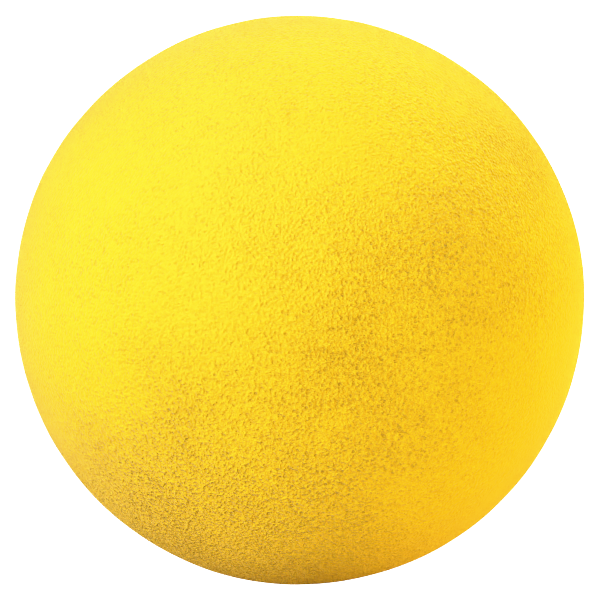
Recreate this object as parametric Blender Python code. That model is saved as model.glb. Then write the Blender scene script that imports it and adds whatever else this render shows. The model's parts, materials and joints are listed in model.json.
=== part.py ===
# Foam stress ball: a cellular foam core inside two half skins.
# Metres, +Z up. The origin is the middle of the flat gate mark that the ball rests on.
# The mould closed on the upright plane y = 0, so the skins meet there, and the foam
# was poured through a gate at the bottom of that plane.
import math

import bpy

BALL_DIAMETER = 0.070
SKIN_WALL = 0.0012       # dense outer skin with its colour coat
GATE_DIAMETER = 0.007    # pour hole through both skins
REST_DIAMETER = 0.010    # flat left where the sprue was cut off
PIECE_GAP = 0.0003       # clearance between pieces that touch

ARC_STEPS = 12           # facets along a quarter circle
TURN_STEPS = 4 * ARC_STEPS
GATE_STEPS = 32
MERGE_DISTANCE = 0.00001

BALL_RADIUS = BALL_DIAMETER / 2
CAVITY_RADIUS = BALL_RADIUS - SKIN_WALL
CORE_RADIUS = CAVITY_RADIUS - PIECE_GAP
GATE_RADIUS = GATE_DIAMETER / 2
NECK_RADIUS = GATE_RADIUS - PIECE_GAP
CENTRE_HEIGHT = math.sqrt(BALL_RADIUS**2 - (REST_DIAMETER / 2) ** 2)

FOAM_COLOUR = (0.95, 0.80, 0.24, 1)
SKIN_COLOUR = (0.94, 0.72, 0.03, 1)
FOAM_ROUGHNESS = 0.95
SKIN_ROUGHNESS = 0.6


def clear_scene():
    for old in list(bpy.data.objects):
        bpy.data.objects.remove(old, do_unlink=True)


def make_material(name, colour, roughness):
    material = bpy.data.materials.new(name)
    material.use_nodes = True
    shader = material.node_tree.nodes["Principled BSDF"]
    shader.inputs["Base Color"].default_value = colour
    shader.inputs["Roughness"].default_value = roughness
    shader.inputs["Metallic"].default_value = 0
    material.diffuse_color = colour
    return material


def arc(radius, start, end, steps):
    # Points on a circle about the ball's centre, angles in radians from the +Z pole.
    points = []
    for step in range(steps + 1):
        angle = start + (end - start) * step / steps
        points.append((radius * math.sin(angle), radius * math.cos(angle)))
    return points


def make_turned(name, outline, material):
    # The outline is (radius, height) from the top pole down the outer side and back to the axis.
    mesh = bpy.data.meshes.new(name)
    points = [(max(radius, 0), 0, height) for radius, height in outline]
    edges = [(index, index + 1) for index in range(len(points) - 1)]
    mesh.from_pydata(points, edges, [])
    mesh.materials.append(material)
    piece = bpy.data.objects.new(name, mesh)
    bpy.context.scene.collection.objects.link(piece)
    turn = piece.modifiers.new("Turn", "SCREW")
    turn.axis = "Z"
    turn.steps = TURN_STEPS
    turn.render_steps = TURN_STEPS
    turn.use_merge_vertices = True
    turn.merge_threshold = MERGE_DISTANCE
    turn.use_smooth_shade = True
    return piece


def make_cutter(name):
    cutter = bpy.context.object
    cutter.name = name
    cutter.display_type = "WIRE"
    cutter.hide_render = True
    return cutter


def cut(piece, cutter):
    step = piece.modifiers.new("Cut " + cutter.name, "BOOLEAN")
    step.operation = "DIFFERENCE"
    step.solver = "EXACT"
    step.object = cutter


def make_frame():
    frame = bpy.data.objects.new("ball_centre", None)
    bpy.context.scene.collection.objects.link(frame)
    frame.location = (0, 0, CENTRE_HEIGHT)
    return frame


def make_core(frame):
    # A ball with a short neck, where foam filled the gate and was cut off level with the skin.
    material = make_material("foam", FOAM_COLOUR, FOAM_ROUGHNESS)
    neck_angle = math.pi - math.asin(NECK_RADIUS / CORE_RADIUS)
    outline = arc(CORE_RADIUS, 0, neck_angle, 2 * ARC_STEPS)
    outline.append((NECK_RADIUS, -CENTRE_HEIGHT))
    outline.append((0, -CENTRE_HEIGHT))
    core = make_turned("foam_core", outline, material)
    core.parent = frame
    return core


def make_skins(frame):
    # Two cups, each turned about its own pole, with flat rims either side of y = 0.
    material = make_material("skin", SKIN_COLOUR, SKIN_ROUGHNESS)
    outer_rim = math.acos(PIECE_GAP / 2 / BALL_RADIUS)
    inner_rim = math.acos(PIECE_GAP / 2 / CAVITY_RADIUS)
    outline = arc(BALL_RADIUS, 0, outer_rim, ARC_STEPS)
    outline += arc(CAVITY_RADIUS, inner_rim, 0, ARC_STEPS)
    skins = []
    for name, turn in (("skin_front", 90), ("skin_back", -90)):
        skin = make_turned(name, outline, material)
        skin.parent = frame
        skin.rotation_euler.x = math.radians(turn)
        skins.append(skin)
    return skins


def trim_at_gate(skins):
    # One level cut takes off the sprue, and one upright hole is the gate that it filled.
    bpy.ops.mesh.primitive_cube_add(size=BALL_DIAMETER, location=(0, 0, -BALL_RADIUS))
    sprue_cut = make_cutter("sprue_cut")
    bpy.ops.mesh.primitive_cylinder_add(
        vertices=GATE_STEPS, radius=GATE_RADIUS, depth=4 * SKIN_WALL, location=(0, 0, SKIN_WALL)
    )
    gate = make_cutter("gate")
    for skin in skins:
        cut(skin, sprue_cut)
        cut(skin, gate)


clear_scene()
ball_centre = make_frame()
make_core(ball_centre)
trim_at_gate(make_skins(ball_centre))
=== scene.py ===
import json
import math

import bmesh
import bpy
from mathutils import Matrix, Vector


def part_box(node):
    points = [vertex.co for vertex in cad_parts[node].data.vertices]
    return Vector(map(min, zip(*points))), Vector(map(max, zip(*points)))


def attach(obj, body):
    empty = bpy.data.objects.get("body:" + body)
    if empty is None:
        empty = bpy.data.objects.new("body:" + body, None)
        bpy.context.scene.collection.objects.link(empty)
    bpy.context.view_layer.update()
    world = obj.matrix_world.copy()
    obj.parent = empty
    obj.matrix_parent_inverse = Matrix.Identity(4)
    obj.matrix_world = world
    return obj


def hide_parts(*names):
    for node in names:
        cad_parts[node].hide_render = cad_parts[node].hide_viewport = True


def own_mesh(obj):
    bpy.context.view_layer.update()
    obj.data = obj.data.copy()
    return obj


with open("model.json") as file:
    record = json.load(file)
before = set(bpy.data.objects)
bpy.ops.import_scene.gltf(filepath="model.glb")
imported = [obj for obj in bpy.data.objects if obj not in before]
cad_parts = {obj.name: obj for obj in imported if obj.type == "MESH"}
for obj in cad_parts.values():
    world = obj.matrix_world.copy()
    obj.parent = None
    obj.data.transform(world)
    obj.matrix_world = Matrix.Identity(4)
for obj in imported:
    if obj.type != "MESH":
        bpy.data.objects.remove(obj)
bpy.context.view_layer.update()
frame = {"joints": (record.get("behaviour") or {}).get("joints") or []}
bpy.ops.object.select_all(action="DESELECT")

# the ball's own measures, all read from the fixed frame
skinLow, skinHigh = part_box("skin_front")
coreLow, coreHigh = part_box("foam_core")
ballRadius = (skinHigh.x - skinLow.x) / 2
coreRadius = (coreHigh.x - coreLow.x) / 2
centre = Vector((0, 0, skinHigh.z - ballRadius))
squeezeTravel = max(frame["joints"][0]["range_m"])

fit = {
    "clearance": 0.0003,     # kept between the core and the skins
    "gateRadius": 0.0035,    # pour hole through the skins
    "gateSides": 96,
    "cubeSize": 1.999,       # the starting cube's corners just fit in the ball
    "sharpAngle": 40,        # degrees past which an edge stays sharp
    "keep": 1 - squeezeTravel / ballRadius,  # the share of its depth that a squeezed piece keeps
}


# small helpers for modelling as by hand
def startEdit(piece, mode="FACE"):
    bpy.ops.object.select_all(action="DESELECT")
    piece.select_set(True)
    bpy.context.view_layer.objects.active = piece
    bpy.ops.object.mode_set(mode="EDIT")
    bpy.ops.mesh.select_mode(type=mode)
    bpy.ops.mesh.select_all(action="DESELECT")


def endEdit():
    bpy.ops.object.mode_set(mode="OBJECT")


def pick(piece, kind, wanted):
    # kind is verts, edges or faces; wanted answers for one of them
    work = bmesh.from_edit_mesh(piece.data)
    for item in getattr(work, kind):
        item.select_set(wanted(item))
    work.select_flush_mode()
    bmesh.update_edit_mesh(piece.data)


def applyModifier(piece, kind, **settings):
    step = piece.modifiers.new(kind.title(), kind)
    for key, value in settings.items():
        setattr(step, key, value)
    bpy.context.view_layer.objects.active = piece
    bpy.ops.object.modifier_apply(modifier=step.name)


def unevenness(name, size, depth):
    pattern = bpy.data.textures.new(name, "CLOUDS")
    pattern.noise_scale = size
    pattern.noise_depth = depth
    return pattern


def settle(piece):
    # the piece's place goes into its mesh, its object to the origin
    bpy.ops.object.select_all(action="DESELECT")
    piece.select_set(True)
    bpy.context.view_layer.objects.active = piece
    bpy.ops.object.transform_apply(location=True, rotation=True, scale=True)
    bpy.ops.object.shade_smooth()


def roundedCube(name, radius, rows):
    bpy.ops.object.select_all(action="DESELECT")
    inside = fit["cubeSize"] * radius / math.sqrt(3)
    bpy.ops.mesh.primitive_cube_add(size=inside, location=centre)
    ball = bpy.context.object
    ball.name = name
    startEdit(ball)
    bpy.ops.mesh.select_all(action="SELECT")
    bpy.ops.mesh.subdivide(number_cuts=rows - 1)
    endEdit()
    applyModifier(ball, "CAST", cast_type="SPHERE", factor=1, radius=radius, use_radius_as_size=True)
    return ball


# shader maths as plain expressions
class Wire:
    def __init__(self, tree, socket=None):
        self.tree = tree
        self.socket = socket

    def make(self, kind, settings=None, inputs=None, output=0):
        node = self.tree.nodes.new(kind)
        for key, value in (settings or {}).items():
            setattr(node, key, value)
        for key, value in (inputs or {}).items():
            socket = node.inputs[key] if isinstance(key, int) else self.named(node.inputs, key)
            self.feed(socket, value)
        if isinstance(output, int):
            return Wire(self.tree, [s for s in node.outputs if s.enabled][output])
        return Wire(self.tree, self.named(node.outputs, output))

    def named(self, sockets, name):
        return next(s for s in sockets if s.enabled and s.name == name)

    def feed(self, socket, value):
        if isinstance(value, Wire):
            self.tree.links.new(value.socket, socket)
        else:
            socket.default_value = value

    def reckon(self, operation, first, second):
        node = self.tree.nodes.new("ShaderNodeMath")
        node.operation = operation
        for socket, value in zip(node.inputs, (first, second)):
            self.feed(socket, value)
        return Wire(self.tree, node.outputs[0])

    def __add__(self, other):
        return self.reckon("ADD", self, other)

    def __radd__(self, other):
        return self.reckon("ADD", other, self)

    def __sub__(self, other):
        return self.reckon("SUBTRACT", self, other)

    def __rsub__(self, other):
        return self.reckon("SUBTRACT", other, self)

    def __mul__(self, other):
        return self.reckon("MULTIPLY", self, other)

    def __rmul__(self, other):
        return self.reckon("MULTIPLY", other, self)

    def between(self, low, high):
        # 0 at low, 1 at high, smooth in between
        return self.make(
            "ShaderNodeMapRange",
            {"interpolation_type": "SMOOTHSTEP"},
            {"Value": self, "From Min": low, "From Max": high},
        )

    def blend(self, first, second):
        # colours, mixed by this wire
        return self.make(
            "ShaderNodeMix",
            {"data_type": "RGBA"},
            {"Factor": self, "A": first, "B": second},
        )


def newMaterial(name):
    material = bpy.data.materials.new(name)
    material.use_nodes = True
    shader = material.node_tree.nodes["Principled BSDF"]
    return material, shader, Wire(material.node_tree)


def perMetre(size):
    # a pattern's scale from the size of one cell of it, in metres
    return 1 / size


skinLook = {
    "yellow": (0.94, 0.65, 0.016, 1),
    "deepYellow": (0.92, 0.62, 0.014, 1),
    # painted shade: this darker, more orange colour in the pits stands in for the shade that falls inside
    # them
    "pitShadeColour": (0.72, 0.41, 0.010, 1),
    "pitShadeStrength": 0.7,
    "lump": 0.00034,         # one lump of the orange-peel grain
    "lumpDetail": 0,
    "fineLump": 0.00020,
    "fineMiddle": 0.5,       # the noise lies about this height
    "fineShare": 0.4,        # height of the fine lumps beside the large ones
    "pit": 0.00047,          # from one pinhole to the next
    "pitRange": (0.55, 0.1),
    "pitShare": 0.35,
    "patch": 0.012,          # where the foam pressed harder or softer on the mould
    "patchDetail": 1,
    "patchRange": (0.3, 0.7),
    "patchLeast": 0.75,
    "patchShare": 0.35,
    "tone": 0.02,            # slow drift between the two yellows
    "toneDetail": 3,
    "toneRange": (0.25, 0.75),
    "gateSide": ((0.6, 0, -0.8), -0.5, 0.25),      # the grain coarsens this way
    "pressedSide": ((0.9, 0, -0.43), 0.25, 0.95),  # and is pressed smooth this way
    "finest": 0.38,          # the grain's strength away from the gate
    "pressed": 0.85,         # how much of it the pressed side loses
    "relief": 0.00050,
    # where the painted pit shade starts and where it is full, along the grain's height
    "pitShadeRange": (0.65, -0.05),
    "hollowRoughness": 0.25,
    "roughness": 0.62,
    "specular": 0.2,
    "sheen": 0.16,
    "sheenRoughness": 0.45,
}


def skinMaterial(look):
    material, shader, wire = newMaterial("pittedYellowSkin")
    place = wire.make("ShaderNodeTexCoord", output="Object")

    def noise(size, detail):
        sockets = {"Vector": place, "Scale": perMetre(size), "Detail": detail}
        return wire.make("ShaderNodeTexNoise", inputs=sockets)

    lump = noise(look["lump"], look["lumpDetail"])
    fineLump = noise(look["fineLump"], look["lumpDetail"])
    patch = noise(look["patch"], look["patchDetail"]).between(*look["patchRange"])
    tone = noise(look["tone"], look["toneDetail"]).between(*look["toneRange"])
    pinholes = wire.make(
        "ShaderNodeTexVoronoi",
        {"feature": "F1"},
        {"Vector": place, "Scale": perMetre(look["pit"])},
        "Distance",
    )
    pit = pinholes.between(*look["pitRange"])
    fromCentre = wire.make("ShaderNodeVectorMath", {"operation": "SUBTRACT"}, {0: place, 1: centre})

    def towards(side):
        # 0 to 1 across the ball in one direction, between two shares of its radius
        direction, start, end = side
        sockets = {0: fromCentre, 1: direction}
        reach = wire.make("ShaderNodeVectorMath", {"operation": "DOT_PRODUCT"}, sockets, "Value")
        return reach.between(start * ballRadius, end * ballRadius)

    nearGate = look["finest"] + (1 - look["finest"]) * towards(look["gateSide"])
    unpressed = 1 - look["pressed"] * towards(look["pressedSide"])
    openness = nearGate * unpressed * (look["patchLeast"] + patch * look["patchShare"])
    level = lump + (fineLump - look["fineMiddle"]) * look["fineShare"] - pit * look["pitShare"]
    bump = wire.make("ShaderNodeBump", inputs={"Distance": look["relief"], "Height": level * openness})
    body = tone.blend(look["yellow"], look["deepYellow"])
    # painted shade: the low parts of the grain are darkened in the base colour, as the shade inside the
    # pits, stronger where the grain is coarser
    cavityShade = level.between(*look["pitShadeRange"]) * openness * look["pitShadeStrength"]
    wire.feed(shader.inputs["Base Color"], cavityShade.blend(body, look["pitShadeColour"]))
    wire.feed(shader.inputs["Normal"], bump)
    wire.feed(shader.inputs["Roughness"], look["roughness"] + cavityShade * look["hollowRoughness"])
    shader.inputs["Specular IOR Level"].default_value = look["specular"]
    shader.inputs["Sheen Weight"].default_value = look["sheen"]
    shader.inputs["Sheen Roughness"].default_value = look["sheenRoughness"]
    return material


foamLook = {
    "wall": (0.93, 0.72, 0.12, 1),      # cell walls catch the light
    "cavityShade": (0.55, 0.30, 0.015, 1),   # painted shade in the cells between them
    "cell": 0.0011,
    "cellRange": (0.02, 0.28),
    "cellShare": 0.7,
    "smallCell": 0.0006,
    "smallCellRange": (0.02, 0.3),
    "smallCellShare": 0.3,
    "relief": 0.00035,
    "roughness": 0.9,
    "hollowRoughness": 0.1,
    "specular": 0.2,
}


def foamMaterial(look):
    material, shader, wire = newMaterial("cutFoam")
    place = wire.make("ShaderNodeTexCoord", output="Object")

    def cells(size):
        sockets = {"Vector": place, "Scale": perMetre(size)}
        return wire.make("ShaderNodeTexVoronoi", {"feature": "DISTANCE_TO_EDGE"}, sockets, "Distance")

    large = cells(look["cell"]).between(*look["cellRange"])
    small = cells(look["smallCell"]).between(*look["smallCellRange"])
    openness = large * look["cellShare"] + small * look["smallCellShare"]
    # painted shade: the open cells are darkened in the base colour, standing in for the shade inside them
    wire.feed(shader.inputs["Base Color"], openness.blend(look["wall"], look["cavityShade"]))
    bump = wire.make("ShaderNodeBump", inputs={"Distance": look["relief"], "Height": 1 - openness})
    wire.feed(shader.inputs["Normal"], bump)
    wire.feed(shader.inputs["Roughness"], look["roughness"] + openness * look["hollowRoughness"])
    shader.inputs["Specular IOR Level"].default_value = look["specular"]
    return material


skin = skinMaterial(skinLook)
foam = foamMaterial(foamLook)
print("materials made")

shell = {
    "rows": 112,                 # faces along each side of the rounded cube
    "wall": ballRadius - coreRadius - fit["clearance"],
    "seamGap": 0.000005,         # from the parting plane to each rim
    "seamWidth": 0.0006,         # where the moulded line starts to rise
    "seamHeight": 0.00010,
    "seamRings": 6,
    "ringReach": 0.25,           # share of a step within which a point is on a ring
    "seamCrest": 1.25,           # the line is at its full height a little before the rim
    "trim": 0.0003,              # carried on past the rim, for a flat cut
    "cutTolerance": 0.0000001,
    "mergeDistance": 0.000001,
    "broad": (0.022, 0.00030),   # size and depth of the slow unevenness
    "dimple": (0.0042, 0.00007),
    "octaves": 2,
}


def skinHalf(name, side):
    # side is -1 for the front half and 1 for the back half
    half = roundedCube(name, ballRadius, shell["rows"])
    startEdit(half)
    bpy.ops.mesh.select_all(action="SELECT")
    bpy.ops.mesh.bisect(
        plane_co=(0, side * shell["seamWidth"], 0), plane_no=(0, side, 0), clear_inner=True,
        threshold=shell["cutTolerance"],
    )
    endEdit()
    settle(half)
    for label in ("broad", "dimple"):
        size, depth = shell[label]
        pattern = unevenness(label, size, shell["octaves"])
        applyModifier(half, "DISPLACE", texture=pattern, strength=depth, mid_level=0.5)
    # fine rings carry the wall on past the rim, where one flat cut ends it
    step = (shell["seamWidth"] - shell["seamGap"]) / shell["seamRings"]
    rings = [shell["seamWidth"] - step * ring for ring in range(1, shell["seamRings"])]
    startEdit(half, "EDGE")
    pick(half, "edges", lambda edge: edge.is_boundary)
    here = shell["seamWidth"]
    for away in rings + [-shell["trim"]]:
        bpy.ops.mesh.extrude_edges_move(TRANSFORM_OT_translate={"value": (0, side * (away - here), 0)})
        stretch = math.sqrt((ballRadius**2 - away**2) / (ballRadius**2 - here**2))
        bpy.ops.transform.resize(value=(stretch, 1, stretch), center_override=centre)
        here = away
    endEdit()
    applyModifier(half, "SOLIDIFY", thickness=shell["wall"], offset=-1, use_even_offset=False)
    startEdit(half, "EDGE")
    bpy.ops.mesh.select_all(action="SELECT")
    bpy.ops.mesh.bisect(
        plane_co=(0, side * shell["seamGap"], 0), plane_no=(0, side, 0), clear_inner=True,
        threshold=shell["cutTolerance"],
    )
    pick(half, "edges", lambda edge: edge.is_boundary)
    bpy.ops.mesh.bridge_edge_loops()
    # the outer rings rise to the moulded line
    bpy.ops.mesh.select_mode(type="VERT")
    for away in rings + [shell["seamGap"]]:
        share = (shell["seamWidth"] - away) / (shell["seamWidth"] - shell["seamGap"])
        stretch = 1 + shell["seamHeight"] / ballRadius * min(1, share * shell["seamCrest"]) ** 2
        pick(
            half, "verts",
            lambda vert: abs(vert.co.y - side * away) < step * shell["ringReach"]
            and math.hypot(vert.co.x, vert.co.z - centre.z) > ballRadius - shell["wall"] / 2,
        )
        bpy.ops.transform.resize(value=(stretch, 1, stretch), center_override=centre)
    endEdit()
    return half


cutBar = {
    "length": 0.006,
    "height": 0.001,  # of its middle
}


def makeCutter():
    # one block takes off the sprue, and a round bar stands where the gate was
    bpy.ops.object.select_all(action="DESELECT")
    bpy.ops.mesh.primitive_cube_add(size=ballRadius, location=(0, 0, -ballRadius / 2))
    block = bpy.context.object
    bpy.ops.mesh.primitive_cylinder_add(
        vertices=fit["gateSides"],
        radius=fit["gateRadius"],
        depth=cutBar["length"],
        location=(0, 0, cutBar["height"]),
    )
    bar = bpy.context.object
    return block, bar


cutters = makeCutter()
halves = []
for name, side in (("skinFront", -1), ("skinBack", 1)):
    half = skinHalf(name, side)
    for cutter in cutters:
        applyModifier(half, "BOOLEAN", operation="DIFFERENCE", solver="EXACT", object=cutter)
    half.data.materials.append(skin)
    half.data.materials.append(foam)
    innerLimit = ballRadius - shell["wall"] / 2
    for face in half.data.polygons:
        face.material_index = int((face.center - centre).length < innerLimit)
    startEdit(half)
    bpy.ops.mesh.select_all(action="SELECT")
    bpy.ops.mesh.remove_doubles(threshold=shell["mergeDistance"])
    endEdit()
    bpy.ops.object.shade_smooth_by_angle(angle=math.radians(fit["sharpAngle"]))
    halves.append(half)
    print(name, len(half.data.polygons), "faces")

core = {
    "rows": 80,
    "neckLength": 0.0025,
    "broad": (0.020, 0.00012),   # size and depth of the slow unevenness
    "octaves": 2,
    "cells": (0.0011, 0.00022),  # size and depth of the cut cells
    "cutShare": 0.97,            # how far out over the neck's end the cells go
    "endTolerance": 0.000001,
    "cutTolerance": 0.00001,
}


def foamCore():
    ball = roundedCube("foamCore", coreRadius, core["rows"])
    settle(ball)
    size, depth = core["broad"]
    rise = unevenness("rise", size, core["octaves"])
    applyModifier(ball, "DISPLACE", texture=rise, strength=depth, mid_level=0.5)
    neckRadius = fit["gateRadius"] - fit["clearance"]
    bpy.ops.object.select_all(action="DESELECT")
    bpy.ops.mesh.primitive_cylinder_add(
        vertices=fit["gateSides"],
        radius=neckRadius,
        depth=core["neckLength"],
        end_fill_type="NOTHING",
        location=(0, 0, core["neckLength"] / 2),
    )
    neck = bpy.context.object
    settle(neck)
    # the cut end: a fine grid across the neck, then open cells pressed into it
    for level in (0, core["neckLength"]):
        startEdit(neck, "EDGE")
        pick(neck, "edges", lambda edge: all(abs(v.co.z - level) < core["endTolerance"] for v in edge.verts))
        bpy.ops.mesh.fill_grid(span=fit["gateSides"] // 4)
        if level == 0:
            bpy.ops.mesh.subdivide(number_cuts=1)
        endEdit()
    startEdit(neck)
    bpy.ops.mesh.select_all(action="SELECT")
    bpy.ops.mesh.normals_make_consistent(inside=False)
    endEdit()
    applyModifier(ball, "BOOLEAN", operation="UNION", solver="EXACT", object=neck)
    bpy.data.objects.remove(neck)
    cutEnd = ball.vertex_groups.new(name="cutEnd")
    inside = [
        v.index for v in ball.data.vertices
        if v.co.z < core["cutTolerance"] and math.hypot(v.co.x, v.co.y) < neckRadius * core["cutShare"]
    ]
    cutEnd.add(inside, 1, "REPLACE")
    size, depth = core["cells"]
    bubbles = bpy.data.textures.new("bubbles", "VORONOI")
    bubbles.noise_scale = size
    applyModifier(
        ball, "DISPLACE", texture=bubbles, strength=depth, mid_level=0,
        direction="Z", vertex_group="cutEnd",
    )
    ball.vertex_groups.clear()
    ball.data.materials.append(foam)
    bpy.context.view_layer.objects.active = ball
    ball.select_set(True)
    bpy.ops.object.shade_smooth_by_angle(angle=math.radians(fit["sharpAngle"]))
    return ball


coreBall = foamCore()
print("foamCore", len(coreBall.data.polygons), "faces")
for cutter in cutters:
    bpy.data.objects.remove(cutter)

# each piece rides on its body
pieces = (
    (halves[0], "front", "skin_front", "skin", -ballRadius, "front_squeeze"),
    (halves[1], "back", "skin_back", "skin", ballRadius, "back_squeeze"),
    (coreBall, "core", "foam_core", "foam", 0, "front_squeeze"),
)
for piece, body, node, slot, anchorDepth, joint in pieces:
    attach(piece, body)
    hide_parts(node)
    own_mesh(piece)

studio = {
    "lightSide": (-60, 20),  # azimuth and elevation of the surround's white side
    "white": (0.40, 0.40, 0.50, 1),
    "warm": (0.50, 0.38, 0.0, 1),
    "floor": (0.80, 0.70, 0.28, 1),
    "pale": (0.9, 0.9, 0.9, 1),
    "floorReach": 3.0,
    "domeReach": 1.01,       # of the backdrop dome, against the floor's reach
    "sides": 64,
    "floorHeight": -0.0001,  # just clear of the ball's flat
    "straightTo": 0.8,       # colours keep their level up to here
    "whiteLevel": 2.0,       # and reach pure white here
    "toneSteps": 8,
    "backdrop": 3.0,         # glow of the white floor and dome that the camera sees
    "lampDistance": 0.6,
    "lampSize": 0.35,
}

lamps = (
    # name, azimuth, elevation, power, colour
    ("keyLamp", -44, 19, 2.35, (1, 1, 1)),
    ("topLamp", -90, 70, 1.55, (1, 1, 1)),
    ("fillLamp", 70, 5, 2.0, (1, 0.70, 0.03)),
    ("backLamp", 130, 40, 2.2, (0.95, 0.95, 0.15)),
)


def aim(thing, target):
    thing.rotation_euler = (target - thing.location).to_track_quat("-Z", "Y").to_euler()


def around(azimuth, elevation, distance):
    # azimuth 0 is in front of the ball, and it grows to the right
    turn, lift = math.radians(azimuth), math.radians(elevation)
    flat = math.cos(lift)
    return centre + distance * Vector((math.sin(turn) * flat, -math.cos(turn) * flat, math.sin(lift)))


def addLamp(name, azimuth, elevation, power, colour):
    data = bpy.data.lights.new(name, "AREA")
    data.shape = "DISK"
    data.size = studio["lampSize"]
    data.energy = power
    data.color = colour
    lamp = bpy.data.objects.new(name, data)
    bpy.context.scene.collection.objects.link(lamp)
    lamp.location = around(azimuth, elevation, studio["lampDistance"])
    aim(lamp, centre)
    lamp.visible_camera = False


def glowMaterial(name, colour, strength):
    material, shader = newMaterial(name)[:2]
    shader.inputs["Base Color"].default_value = colour
    shader.inputs["Roughness"].default_value = 1
    shader.inputs["Emission Color"].default_value = (1, 1, 1, 1)
    shader.inputs["Emission Strength"].default_value = strength
    return material


def addStage():
    # the floor that lights the ball from below, and the white one that is seen
    reach = studio["floorReach"]
    floors = (
        ("floor", studio["floor"], 0),
        ("whiteFloor", studio["pale"], studio["backdrop"]),
    )
    for name, colour, glow in floors:
        bpy.ops.object.select_all(action="DESELECT")
        bpy.ops.mesh.primitive_circle_add(
            vertices=studio["sides"],
            radius=reach,
            fill_type="NGON",
            location=(0, 0, studio["floorHeight"]),
        )
        floor = bpy.context.object
        floor.name = name
        floor.data.materials.append(glowMaterial(name, colour, glow))
        floor.visible_camera = glow > 0
        floor.visible_diffuse = glow == 0
        floor.visible_glossy = glow == 0
        floor.visible_shadow = glow == 0
        floor.visible_transmission = glow == 0
    bpy.ops.mesh.primitive_uv_sphere_add(
        segments=studio["sides"],
        ring_count=studio["sides"] // 2,
        radius=reach * studio["domeReach"],
        location=(0, 0, 0),
    )
    dome = bpy.context.object
    dome.name = "backdrop"
    dome.data.materials.append(glowMaterial("backdrop", studio["pale"], studio["backdrop"]))
    for flag in ("visible_diffuse", "visible_glossy", "visible_shadow", "visible_transmission"):
        setattr(dome, flag, False)


def addSurround():
    # white from the lamps' side, and warm from the other
    world = bpy.data.worlds.new("studio")
    bpy.context.scene.world = world
    world.use_nodes = True
    wire = Wire(world.node_tree)
    way = wire.make("ShaderNodeTexCoord", output="Generated")
    towards = around(*studio["lightSide"], 1) - centre
    facing = wire.make("ShaderNodeVectorMath", {"operation": "DOT_PRODUCT"}, {0: way, 1: towards}, "Value")
    sky = world.node_tree.nodes["Background"]
    share = facing * 0.5 + 0.5  # from -1 to 1, made 0 to 1
    wire.feed(sky.inputs["Color"], share.blend(studio["warm"], studio["white"]))


def filmTone():
    # bright colours level off as on film, so the yellow turns paler towards the light
    view = bpy.context.scene.view_settings
    view.view_transform = "Standard"
    view.look = "None"
    view.use_curve_mapping = True
    curves = view.curve_mapping
    top, bend = studio["whiteLevel"], studio["straightTo"]
    curves.white_level = (top, top, top)
    tone = curves.curves[3]  # the one for all three colours
    tone.points[0].handle_type = "VECTOR"
    tone.points.new(bend / top, bend).handle_type = "VECTOR"
    steps = studio["toneSteps"]
    for step in range(1, steps):
        level = bend + (top - bend) * (step / steps) ** 2
        fall = math.exp((bend - level) / (1 - bend))
        tone.points.new(level / top, 1 - (1 - bend) * fall)
    curves.update()


for lamp in lamps:
    addLamp(*lamp)
addStage()
addSurround()
filmTone()

camera = {
    "elevation": 10,
    "lens": 250,
    "fill": 569 / 600,       # the ball's share of the frame's width
}


def addCamera():
    data = bpy.data.cameras.new("camera")
    data.lens = camera["lens"]
    across = math.atan(camera["fill"] * data.sensor_width / 2 / data.lens)
    eye = bpy.data.objects.new("camera", data)
    bpy.context.scene.collection.objects.link(eye)
    eye.location = around(0, camera["elevation"], ballRadius / math.sin(across))
    aim(eye, centre)
    bpy.context.scene.camera = eye


addCamera()
print("stage made")
